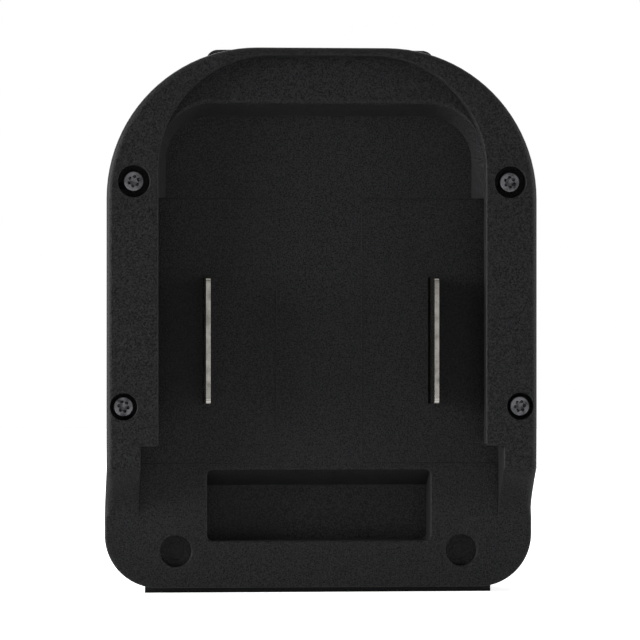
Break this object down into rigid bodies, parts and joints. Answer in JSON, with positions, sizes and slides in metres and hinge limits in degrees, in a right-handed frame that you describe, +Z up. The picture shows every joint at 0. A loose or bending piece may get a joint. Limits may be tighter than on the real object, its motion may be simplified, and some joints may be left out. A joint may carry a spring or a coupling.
{
  "type": "tool battery adapter",
  "caption": "Black two-shell slide-on adapter: a railed bay with contact blades takes a battery, and a grooved deck with a sprung release latch slides onto a cordless tool.",
  "frame": {"origin": "centre of the bounding box in X and Y, on the flat foot that the adapter stands on", "axes": "+X to the right seen from the battery side, +Y from the battery side to the tool side, +Z up, the way a battery and the adapter itself are pushed in"},
  "size_m": [0.076, 0.039, 0.0962],
  "materials": {
    "shell": "black glass-filled nylon, spark-eroded grain",
    "latch": "black acetal, satin",
    "insulator": "black heat-resistant polyester moulding",
    "contact": "nickel-plated copper alloy strip",
    "screw": "black zinc-plated steel",
    "spring": "drawn spring steel",
    "board": "glass-epoxy laminate with green solder mask",
    "chip": "moulded epoxy packages with tinned legs",
    "ceramic": "ceramic bodies with tinned ends",
    "lead_red": "red silicone insulation on stranded copper",
    "lead_black": "black silicone insulation on stranded copper"
  },
  "bodies": {
    "adapter": {"battery_side_shell": "shell", "tool_side_shell": "shell", "case_screws": "screw", "battery_blade_positive": "contact", "battery_blade_negative": "contact", "blade_holder": "insulator", "blade_holder_screws": "screw", "lead_positive": "lead_red", "lead_negative": "lead_black", "circuit_board": "board", "board_screws": "screw", "power_transistors": "chip", "control_chip": "chip", "fuse": "ceramic", "shunt_resistor": "chip", "capacitors": "ceramic", "resistors": "chip", "contact_block": "insulator", "tool_contact_positive": "contact", "tool_contact_negative": "contact", "signal_contacts": "contact", "latch_spring_left": "spring", "latch_spring_right": "spring"},
    "latch": {"release_latch": "latch"}
  },
  "joints": [
    {"name": "latch_press", "type": "slide", "parent": "adapter", "child": "latch", "axis": [0, -1, 0], "range_m": [0, 0.004], "stiffness_N_per_m": 800, "springref_m": -0.004, "deforming": ["latch_spring_left", "latch_spring_right"]}
  ]
}
